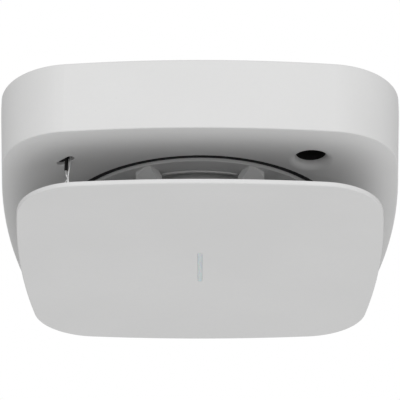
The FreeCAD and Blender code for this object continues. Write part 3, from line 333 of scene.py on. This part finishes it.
def cell_film(name, colour, axis, middle):
    """Shrink film on a cell: a light band towards the positive end, a thin stripe and faint wrinkles."""
    finish = Finish(name, roughness=0.25, coat_weight=0.5, coat_roughness=0.1)
    along = finish.place().along(axis) - Vector(middle).dot(axis)
    band, stripe = ring_of(along, 3.5, 10.5), ring_of(along, 1.9, 2.6)
    metal_end = along.step(12.4 * MM, 12.5 * MM)
    wrinkle = finish.noise(0.0012, 3.0, stretch=(1.0, 1.0, 0.4))
    base = finish.mix(wrinkle * 0.4, colour, shade(colour, 1.3))
    base = finish.mix(band, base, (0.62, 0.64, 0.66))
    base = finish.mix(stripe, base, (0.55, 0.20, 0.06))
    finish.colour(finish.mix(metal_end, base, (0.66, 0.66, 0.64)))
    finish.roughness(0.2 + wrinkle * 0.14)
    finish.relief(wrinkle, 0.00003)
    return finish.material


def epoxy_drop(name, colour):
    """Dipped epoxy with a soft gloss and tiny sags."""
    finish = Finish(name, roughness=0.22, coat_weight=0.6, coat_roughness=0.08)
    sag = finish.noise(0.0007, 3.0)
    finish.colour(finish.mix(sag, colour, shade(colour, 1.5)))
    finish.roughness(0.18 + sag * 0.12)
    finish.relief(sag, 0.00005)
    return finish.material


def glazed_ceramic(name, colour):
    """Fired ceramic with a silvered, slightly mottled face."""
    finish = Finish(name, roughness=0.4)
    mottle = finish.noise(0.0009, 3.0)
    finish.colour(finish.mix(mottle.step(0.35, 0.7), shade(colour, 0.9), colour))
    finish.roughness(0.34 + mottle * 0.14)
    finish.relief(mottle, 0.00001)
    return finish.material


def studio_floor(name, colour):
    """Pale matt sweep."""
    finish = Finish(name, roughness=0.85)
    tone = finish.noise(0.6, 3.0)
    finish.colour(finish.mix(tone, shade(colour, 0.985), colour))
    finish.roughness(0.8 + tone * 0.08)
    return finish.material


# ---------------------------------------------------------------- mesh helpers


def wear(material, *names):
    """Puts one finish on CAD nodes."""
    for name in names:
        materials = NODES[name].data.materials
        materials.clear()
        materials.append(material)


def new_piece(name, material, body, slot, replaced, draw, *measures):
    """A smooth piece that rides on a CAD body. draw(work, *measures) fills its mesh."""
    mesh = bpy.data.meshes.new(name)
    work = bmesh.new()
    draw(work, *measures)
    bmesh.ops.recalc_face_normals(work, faces=work.faces)
    work.to_mesh(mesh)
    work.free()
    piece = bpy.data.objects.new(name, mesh)
    bpy.context.scene.collection.objects.link(piece)
    for face in mesh.polygons:
        face.use_smooth = True
    mesh.materials.append(material)
    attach(piece, body)
    if replaced:
        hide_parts(replaced)


def lathe(work, profile, centre, axis=UP, steps=48):
    """Turns a (radius, length) profile about an axis through centre. A radius of 0 closes the end."""
    turn = Vector(UP).rotation_difference(Vector(axis))
    rings = []
    for radius, length in profile:
        if radius == 0.0:
            rings.append([work.verts.new(Vector(centre) + turn @ Vector((0.0, 0.0, length)))])
            continue
        ring = []
        for index in range(steps):
            angle = 2.0 * math.pi * index / steps
            point = Vector((radius * math.cos(angle), radius * math.sin(angle), length))
            ring.append(work.verts.new(Vector(centre) + turn @ point))
        rings.append(ring)
    for low, high in zip(rings, rings[1:]):
        for index in range(steps):
            following = (index + 1) % steps
            corners = [low[index % len(low)], low[following % len(low)]]
            corners += [high[following % len(high)], high[index % len(high)]]
            work.faces.new(list(dict.fromkeys(corners)))


def smooth_path(points, steps=10):
    """Points of a smooth curve through the given ones, a Catmull-Rom spline."""
    ends = [points[0] * 2 - points[1], *points, points[-1] * 2 - points[-2]]
    path = []
    for before, start, end, after in zip(ends, ends[1:], ends[2:], ends[3:]):
        squared = 2.0 * before - 5.0 * start + 4.0 * end - after
        cubed = 3.0 * start - before - 3.0 * end + after
        for index in range(steps):
            t = index / steps
            path.append(0.5 * (2.0 * start + (end - before) * t + squared * t**2 + cubed * t**3))
    return [*path, points[-1]]


def sweep(work, path, radius, sides=10):
    """A closed round tube along a path."""
    rings = []
    side = None
    for index, point in enumerate(path):
        ahead = path[min(index + 1, len(path) - 1)] - path[max(index - 1, 0)]
        ahead.normalize()
        if side is None:
            side = ahead.orthogonal().normalized()
        side = (side - ahead * side.dot(ahead)).normalized()
        up = ahead.cross(side)
        ring = []
        for corner in range(sides):
            angle = 2.0 * math.pi * corner / sides
            outward = side * math.cos(angle) + up * math.sin(angle)
            ring.append(work.verts.new(point + outward * radius))
        rings.append(ring)
    for low, high in zip(rings, rings[1:]):
        for corner in range(sides):
            following = (corner + 1) % sides
            work.faces.new((low[corner], low[following], high[following], high[corner]))
    work.faces.new(rings[0])
    work.faces.new(rings[-1])


# ---------------------------------------------------------------- properties


def colour_property(name, description, default):
    return FloatVectorProperty(
        name=name, description=description, default=default, size=3, min=0.0, max=1.0, subtype="COLOR"
    )


class DetectorColours(PropertyGroup):
    """Base colours of the detector's finishes."""

    shell: colour_property("Shell", "Housing, front plate and basket", (0.63, 0.63, 0.628))
    bracket: colour_property("Bracket", "Ceiling bracket and back cover", (0.72, 0.72, 0.71))
    cup: colour_property("Cup", "Black inner cup, trays and siren", (0.006, 0.006, 0.007))
    rubber: colour_property("Rubber", "Gasket, grommet and sleeve", (0.008, 0.008, 0.008))
    guide: colour_property("Light guide", "Milky light guide", (0.80, 0.82, 0.82))
    board: colour_property("Board", "Solder mask", (0.012, 0.105, 0.04))
    chip: colour_property("Chips", "Chip packages and switches", (0.018, 0.018, 0.02))
    steel: colour_property("Steel", "Screws and springs", (0.60, 0.61, 0.63))
    nickel: colour_property("Nickel", "Cell contacts", (0.72, 0.70, 0.66))
    brass: colour_property("Brass", "Siren disc", (0.75, 0.55, 0.24))
    wire: colour_property("Wire", "Tinned wire", (0.78, 0.78, 0.78))
    film: colour_property("Cell film", "Shrink film on the cells", (0.03, 0.045, 0.09))
    epoxy: colour_property("Bead", "Dipped epoxy on the thermistor", (0.05, 0.048, 0.045))
    ceramic: colour_property("Ceramic", "Silvered ceramic disc", (0.74, 0.72, 0.66))
    key: colour_property("Keys", "Power button and tamper pin", (0.36, 0.40, 0.44))


class DetectorSizes(PropertyGroup):
    """Sizes of the pieces made here."""

    lead: FloatProperty(
        name="Lead diameter", description="Thermistor lead", default=0.52 * MM, unit="LENGTH", precision=5
    )
    mesh_pitch: FloatProperty(
        name="Mesh pitch", description="Insect screen's wire spacing", default=0.8 * MM,
        unit="LENGTH", precision=5,
    )
    mesh_wire: FloatProperty(
        name="Mesh wire", description="Insect screen's wire radius", default=0.07 * MM,
        unit="LENGTH", precision=5,
    )


class DetectorStage(PropertyGroup):
    """Camera, light and floor."""

    rise: FloatProperty(
        name="Camera angle", description="How far below the horizon the camera looks up from",
        default=math.radians(27.472), subtype="ANGLE",
    )
    distance: FloatProperty(
        name="Camera distance", description="Camera to target", default=0.61799, unit="LENGTH"
    )
    target: FloatProperty(
        name="Target height", description="Height that the camera looks at", default=-0.01468, unit="LENGTH"
    )
    lens: FloatProperty(name="Lens", description="Focal length in mm", default=176.48, min=10.0)
    floor_drop: FloatProperty(
        name="Floor", description="Ceiling to floor", default=1.6, unit="LENGTH"
    )
    sky: FloatProperty(name="Surrounding light", description="Strength of the room's light", default=0.65)
    key_light: FloatProperty(
        name="Key light", description="Front softbox power", default=11.6, subtype="POWER"
    )
    fill_light: FloatProperty(
        name="Fill light", description="Low softbox power", default=9.2, subtype="POWER"
    )


def colours():
    return {
        name: tuple(getattr(bpy.context.scene.detector_colours, name))
        for name in DetectorColours.__annotations__
    }


# ---------------------------------------------------------------- operators


class DETECTOR_OT_shells(Operator):
    """Finish the housing, the front plate, the basket and the black inner cup"""

    bl_idname = "detector.shells"
    bl_label = "Shells"

    def execute(self, context):
        tint = colours()
        wear(moulded("white_shell_grain", tint["shell"]), "housing", "plate_carrier")
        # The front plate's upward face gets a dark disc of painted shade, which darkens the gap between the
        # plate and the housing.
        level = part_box("front_plate")[0].z + PAINTED_SHADE_LEVEL
        painted_shade_colour = shade(tint["cup"], 4.0)
        wear(with_painted_shade("white_plate_grain", tint["shell"], painted_shade_colour, level), "front_plate")
        wear(moulded("black_cup_grain", tint["cup"], 0.6, depth=0.00001), "inner_chassis")
        return {"FINISHED"}


class DETECTOR_OT_light_guide(Operator):
    """Finish the light guide and the status light"""

    bl_idname = "detector.light_guide"
    bl_label = "Light guide"

    def execute(self, context):
        tint = colours()
        wear(frosted_guide("milky_guide", tint["guide"]), "light_guide")
        wear(moulded("led_case", (0.85, 0.85, 0.8), 0.3), "status_led")
        return {"FINISHED"}


class DETECTOR_OT_thermistor(Operator):
    """Make the dipped bead, its two twisted leads and the sleeve"""

    bl_idname = "detector.thermistor"
    bl_label = "Thermistor"

    def execute(self, context):
        tint = colours()
        low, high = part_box("thermistor_bead")
        radius = (high.x - low.x) / 2
        axis = Vector(((low.x + high.x) / 2, (low.y + high.y) / 2, low.z + radius))
        turns = [math.radians(angle) for angle in range(-80, 31, 10)]
        ball = [(radius * math.cos(turn), radius * math.sin(turn)) for turn in turns]
        steps = ((0.70, 0.85), (0.55, 1.2), (0.42, 1.45))
        neck = [(radius * width, radius * level) for width, level in steps]
        drop = [(0.0, -radius), *ball, *neck, (0.0, radius * 1.5)]
        finish = epoxy_drop("bead_epoxy", tint["epoxy"])
        new_piece("bead", finish, "head", "bead_epoxy", "thermistor_bead", lathe, drop, axis)

        lead_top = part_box("thermistor_leads")[1].z
        sleeve_low, sleeve_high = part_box("lead_sleeve")
        sleeve = (sleeve_low + sleeve_high) / 2
        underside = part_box("housing")[0].z
        lead = context.scene.detector_sizes.lead / 2
        bead_top = axis.z + radius * 1.2

        def point(x, y, below):
            level = lead_top if below is None else underside - below * MM
            return Vector((axis.x + x * MM, axis.y + y * MM, level))

        levels = (lead_top, underside, sleeve_low.z - 0.1 * MM)
        down_sleeve = [Vector((sleeve.x, sleeve.y, level)) for level in levels]
        left = [*down_sleeve, *(point(*step) for step in LEFT_ROUTE)]
        left.append(Vector((axis.x - 0.42 * MM, axis.y, bead_top + 0.7 * MM)))
        left.append(Vector((axis.x - LEAD_SPACING, axis.y, bead_top)))
        right = [point(*step) for step in RIGHT_ROUTE]
        right.append(Vector((axis.x + LEAD_SPACING, axis.y, bead_top)))
        finish = metal("tinned_lead", tint["wire"], 0.36)
        new_piece(
            "bead_leads", finish, "head", "lead_wire", "thermistor_leads",
            self.draw_leads, (left, right), lead,
        )

        half, bore = (sleeve_high.x - sleeve_low.x) / 2, lead * 1.15
        length = sleeve_high.z - sleeve_low.z
        tube = [
            (bore, SLEEVE_LIP), (bore, 0.0), (half * 0.8, 0.0), (half * 0.96, 0.08 * MM), (half, 0.2 * MM),
            (half * 0.97, length * 0.5), (half, length), (bore, length), (bore, SLEEVE_LIP),
        ]
        foot = Vector((sleeve.x, sleeve.y, sleeve_low.z))
        finish = soft_rubber("sleeve_rubber", tint["rubber"])
        new_piece("sleeve", finish, "head", "rubber", "lead_sleeve", lathe, tube, foot, UP, 24)
        wear(soft_rubber("grommet_rubber", tint["rubber"]), "thermistor_grommet")
        return {"FINISHED"}

    def draw_leads(self, work, routes, radius):
        for route in routes:
            sweep(work, smooth_path(route), radius)


class DETECTOR_OT_insect_screen(Operator):
    """Weave the insect screen that lies over the basket's windows"""

    bl_idname = "detector.insect_screen"
    bl_label = "Insect screen"

    def execute(self, context):
        low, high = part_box("insect_screen")
        outer, level = (high.x - low.x) / 2, (low.z + high.z) / 2
        inner = outer - 6.3 * MM
        steel = metal("screen_wire", (0.34, 0.34, 0.35), 0.4)
        new_piece(
            "screen_mesh", steel, "test_plate", "mesh", "insect_screen", self.draw_wires, inner, outer, level
        )
        for radius, name in ((outer, "screen_rim_outer"), (inner + 0.3 * MM, "screen_rim_inner")):
            inside, half = radius - 0.3 * MM, 0.14 * MM
            band = [(inside, -half), (radius, -half), (radius, half), (inside, half), (inside, -half)]
            centre = Vector((0.0, 0.0, level))
            new_piece(name, steel, "test_plate", "mesh", None, lathe, band, centre, UP, 96)
        return {"FINISHED"}

    def draw_wires(self, work, inner, outer, level):
        """Crossing wires over a ring."""
        pitch = bpy.context.scene.detector_sizes.mesh_pitch
        margin = 0.2 * MM
        count = int((outer - pitch / 2) / pitch)
        for row in range(-count, count + 1):
            offset = row * pitch
            reach = math.sqrt(outer**2 - offset**2) - margin
            spans = [(-reach, reach)]
            if abs(offset) < inner:
                gap = math.sqrt(inner**2 - offset**2) + margin
                spans = [(-reach, -gap), (gap, reach)]
            for start, end in spans:
                if end - start < 2 * pitch:
                    continue
                for across in (False, True):
                    self.draw_wire(work, start, end, offset, row, across, level)

    def draw_wire(self, work, start, end, offset, row, across, level):
        """One wavy wire along X, or along Y where across is true."""
        sizes = bpy.context.scene.detector_sizes
        count = max(4, int((end - start) / sizes.mesh_pitch * 2))
        path = []
        for index in range(count + 1):
            place = start + (end - start) * index / count
            phase = math.pi * place / sizes.mesh_pitch + math.pi * (row + across)
            lift = level + 0.08 * MM * math.cos(phase)
            path.append(Vector((offset, place, lift) if across else (place, offset, lift)))
        sweep(work, path, sizes.mesh_wire, sides=5)


class DETECTOR_OT_siren(Operator):
    """Finish the siren's chamber, gasket, disc and contacts"""

    bl_idname = "detector.siren"
    bl_label = "Siren"

    def execute(self, context):
        tint = colours()
        wear(moulded("siren_chamber_grain", tint["cup"], 0.55), "siren_resonator")
        wear(soft_rubber("gasket_rubber", tint["rubber"]), "siren_gasket")
        wear(metal("rolled_brass", tint["brass"], 0.28, (1.0, 9.0, 1.0)), "piezo_brass_disc")
        wear(glazed_ceramic("silvered_ceramic", tint["ceramic"]), "piezo_ceramic")
        wear(metal("contact_wire", tint["steel"], 0.26), "siren_contact_springs")
        return {"FINISHED"}


class DETECTOR_OT_board(Operator):
    """Finish the circuit board, its parts and the switches"""

    bl_idname = "detector.board"
    bl_label = "Board"

    def execute(self, context):
        tint = colours()
        wear(solder_mask("green_mask", tint["board"]), "main_board")
        wear(chip_epoxy("chip_case", tint["chip"]), "microcontroller", "small_components")
        wear(chip_epoxy("switch_case", shade(tint["chip"], 1.6)), "test_switch", "power_switch")
        wear(metal("tinned_can", (0.66, 0.67, 0.68), 0.34, (1.0, 10.0, 1.0)), "radio_shield")
        wear(epoxy_drop("capacitor_sleeve", tint["film"]), "reservoir_capacitor")
        wear(metal("antenna_wire", (0.74, 0.72, 0.68), 0.3), "antenna_coil")
        return {"FINISHED"}


class DETECTOR_OT_cells(Operator):
    """Make the two lithium cells and finish their trays and contacts"""

    bl_idname = "detector.cells"
    bl_label = "Cells"

    def execute(self, context):
        tint = colours()
        for side, angle in (("left", 135.0), ("right", 45.0)):
            name = "cell_" + side
            low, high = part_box(name)
            middle = (low + high) / 2
            radius = (high.z - low.z) / 2
            turn = math.radians(angle + 90.0)
            axis = (math.cos(turn), math.sin(turn), 0.0)
            size = high - low
            length = (size.x + size.y) / (abs(axis[0]) + abs(axis[1])) - 2 * radius
            half = length / 2
            can = [(0.0, -half)]
            can += [(radius - inset * MM, inward * MM - half) for inset, inward in CELL_FOOT]
            can += [(radius - inset * MM, half - inward * MM) for inset, inward in CELL_CRIMP]
            can += [(width * MM, half - inward * MM) for width, inward in CELL_CAP]
            can.append((0.0, half))
            film = cell_film(name + "_film", tint["film"], axis, middle)
            new_piece(name + "_can", film, "head", "cell_wrap", name, lathe, can, middle, axis, 64)
        tray = moulded("tray_grain", tint["cup"], 0.5, depth=0.00001)
        wear(tray, "cell_holder_left", "cell_holder_right")
        wear(metal("nickel_plate", tint["nickel"], 0.24), "cell_contact_plates")
        wear(metal("nickel_wire", tint["nickel"], 0.22), "cell_contact_springs")
        return {"FINISHED"}


class DETECTOR_OT_hardware(Operator):
    """Finish the screws, the springs, the tamper pin and the power button"""

    bl_idname = "detector.hardware"
    bl_label = "Hardware"

    def execute(self, context):
        tint = colours()
        zinc = metal("zinc_plate", tint["steel"], 0.3, (1.0, 1.0, 4.0))
        wear(zinc, "cover_screws", "board_screws", "carrier_screws", "plate_screws")
        wear(metal("spring_wire", tint["steel"], 0.24), "return_springs", "tamper_spring")
        wear(moulded("key_grain", tint["key"], 0.4), "power_button", "tamper_plunger")
        return {"FINISHED"}


class DETECTOR_OT_bracket(Operator):
    """Finish the ceiling bracket and the back cover"""

    bl_idname = "detector.bracket"
    bl_label = "Bracket"

    def execute(self, context):
        tint = colours()
        wear(moulded("bracket_grain", tint["bracket"], 0.5, 0.00035, 0.00001), "mounting_bracket")
        wear(moulded("cover_grain", shade(tint["bracket"], 1.04), 0.5, 0.00035, 0.00001), "back_cover")
        return {"FINISHED"}


class DETECTOR_OT_stage(Operator):
    """Make the camera, the floor, the room's light and the softboxes"""

    bl_idname = "detector.stage"
    bl_label = "Stage"

    def execute(self, context):
        stage = context.scene.detector_stage
        target = Vector((0.0, 0.0, stage.target))
        away = Vector((0.0, -math.cos(stage.rise), -math.sin(stage.rise)))
        camera = bpy.data.objects.new("camera", bpy.data.cameras.new("camera"))
        context.scene.collection.objects.link(camera)
        camera.data.lens = stage.lens
        camera.data.clip_start = 0.01
        camera.location = target + away * stage.distance
        camera.rotation_euler = (-away).to_track_quat("-Z", "Y").to_euler()
        context.scene.camera = camera

        mesh = bpy.data.meshes.new("floor")
        work = bmesh.new()
        bmesh.ops.create_circle(work, cap_ends=True, segments=96, radius=14.0)
        work.to_mesh(mesh)
        work.free()
        mesh.materials.append(studio_floor("studio_floor", (0.86, 0.86, 0.86)))
        floor = bpy.data.objects.new("floor", mesh)
        floor.location.z = -stage.floor_drop
        context.scene.collection.objects.link(floor)

        self.sky(context, stage.sky)
        self.softbox(context, "key", (0.0, -1.4, 0.5), target, (1.6, 0.8), stage.key_light)
        self.softbox(context, "low_fill", (0.3, -0.25, -1.4), target, (1.6, 1.6), stage.fill_light)
        context.scene.view_settings.view_transform = "Standard"
        return {"FINISHED"}

    def sky(self, context, strength):
        """Even light from all round, seen as plain white."""
        world = bpy.data.worlds.new("room")
        world.use_nodes = True
        tree = world.node_tree
        lit = tree.nodes["Background"]
        lit.inputs["Color"].default_value = (1.0, 1.0, 1.0, 1.0)
        lit.inputs["Strength"].default_value = strength
        seen = tree.nodes.new("ShaderNodeBackground")
        seen.inputs["Color"].default_value = (1.0, 1.0, 1.0, 1.0)
        path = tree.nodes.new("ShaderNodeLightPath")
        mix = tree.nodes.new("ShaderNodeMixShader")
        tree.links.new(path.outputs["Is Camera Ray"], mix.inputs["Fac"])
        tree.links.new(lit.outputs["Background"], mix.inputs[1])
        tree.links.new(seen.outputs["Background"], mix.inputs[2])
        tree.links.new(mix.outputs["Shader"], tree.nodes["World Output"].inputs["Surface"])
        context.scene.world = world

    def softbox(self, context, name, place, target, size, power):
        light = bpy.data.lights.new(name, "AREA")
        light.shape = "RECTANGLE"
        light.size, light.size_y = size
        light.energy = power
        lamp = bpy.data.objects.new(name, light)
        lamp.location = place
        lamp.rotation_euler = (Vector(place) - target).to_track_quat("Z", "Y").to_euler()
        lamp.visible_camera = False
        context.scene.collection.objects.link(lamp)


OPERATORS = (
    DETECTOR_OT_stage,
    DETECTOR_OT_shells,
    DETECTOR_OT_light_guide,
    DETECTOR_OT_thermistor,
    DETECTOR_OT_insect_screen,
    DETECTOR_OT_siren,
    DETECTOR_OT_board,
    DETECTOR_OT_cells,
    DETECTOR_OT_hardware,
    DETECTOR_OT_bracket,
)


class DETECTOR_PT_sidebar(Panel):
    """Lists the detector's operators and settings"""

    bl_idname = "DETECTOR_PT_sidebar"
    bl_label = "Ceiling Heat Detector"
    bl_space_type = "VIEW_3D"
    bl_region_type = "UI"
    bl_category = "Detector"

    def draw(self, context):
        layout = self.layout
        for operator in OPERATORS:
            layout.operator(operator.bl_idname)
        for name in SETTINGS:
            group = getattr(context.scene, name)
            box = layout.box()
            for key in group.__annotations__:
                box.prop(group, key)


SETTINGS = {
    "detector_colours": DetectorColours,
    "detector_sizes": DetectorSizes,
    "detector_stage": DetectorStage,
}
CLASSES = (*SETTINGS.values(), *OPERATORS, DETECTOR_PT_sidebar)


def register():
    for each in CLASSES:
        bpy.utils.register_class(each)
    for name, group in SETTINGS.items():
        setattr(bpy.types.Scene, name, PointerProperty(type=group))


def unregister():
    for name in SETTINGS:
        delattr(bpy.types.Scene, name)
    for each in reversed(CLASSES):
        bpy.utils.unregister_class(each)


def main():
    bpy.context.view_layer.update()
    register()
    for operator in OPERATORS:
        group, name = operator.bl_idname.split(".")
        getattr(getattr(bpy.ops, group), name)()


if __name__ == "__main__":
    main()
